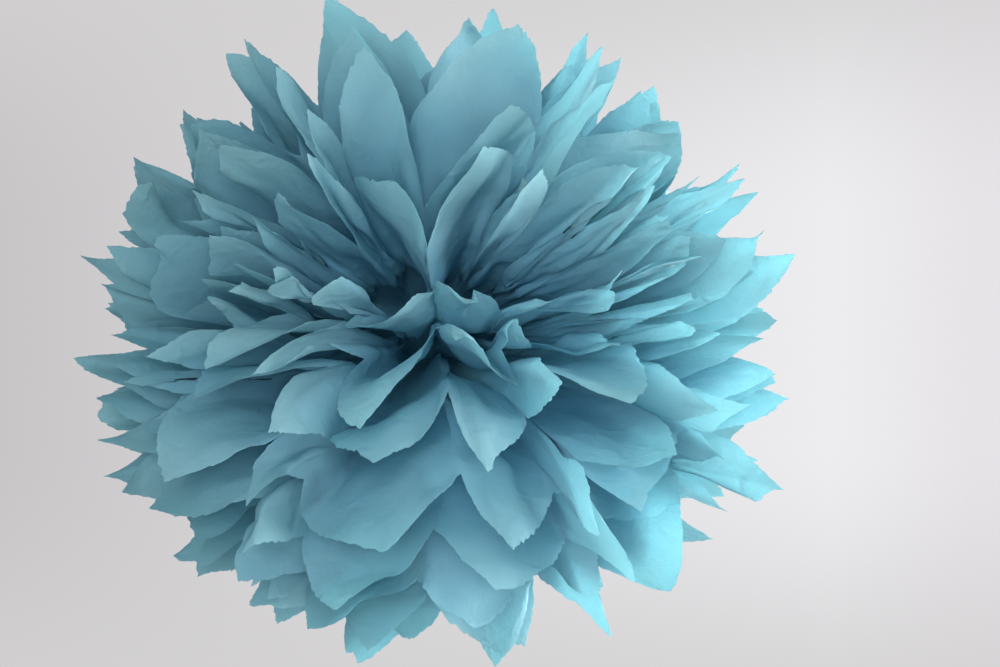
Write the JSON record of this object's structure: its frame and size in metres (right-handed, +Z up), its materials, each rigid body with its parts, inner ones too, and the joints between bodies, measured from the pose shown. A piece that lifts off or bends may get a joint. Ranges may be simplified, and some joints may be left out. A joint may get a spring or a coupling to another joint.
{
  "type": "tissue paper pom pom",
  "caption": "Round decoration of accordion-folded tissue paper sheets, tied at the middle and fanned out into a ball of pointed petals.",
  "frame": {"origin": "middle of the wire tie at the centre of the ball", "axes": "+Z up as in the picture, -Y towards the front pole of the ball, X along the seam where the halves of the sheets meet"},
  "size_m": [0.3617, 0.3593, 0.3427],
  "materials": {
    "tissue": "matt, thin enough to let some light through",
    "wire": "green lacquered florist's wire"
  },
  "bodies": {
    "root": {"tissue_sheet_01": "tissue", "tissue_sheet_02": "tissue", "tissue_sheet_03": "tissue", "tissue_sheet_04": "tissue", "tissue_sheet_05": "tissue", "tissue_sheet_06": "tissue", "tissue_sheet_07": "tissue", "tissue_sheet_08": "tissue", "tissue_sheet_09": "tissue", "tissue_sheet_10": "tissue", "tissue_sheet_11": "tissue", "tissue_sheet_12": "tissue", "tie_wire": "wire"}
  },
  "joints": []
}
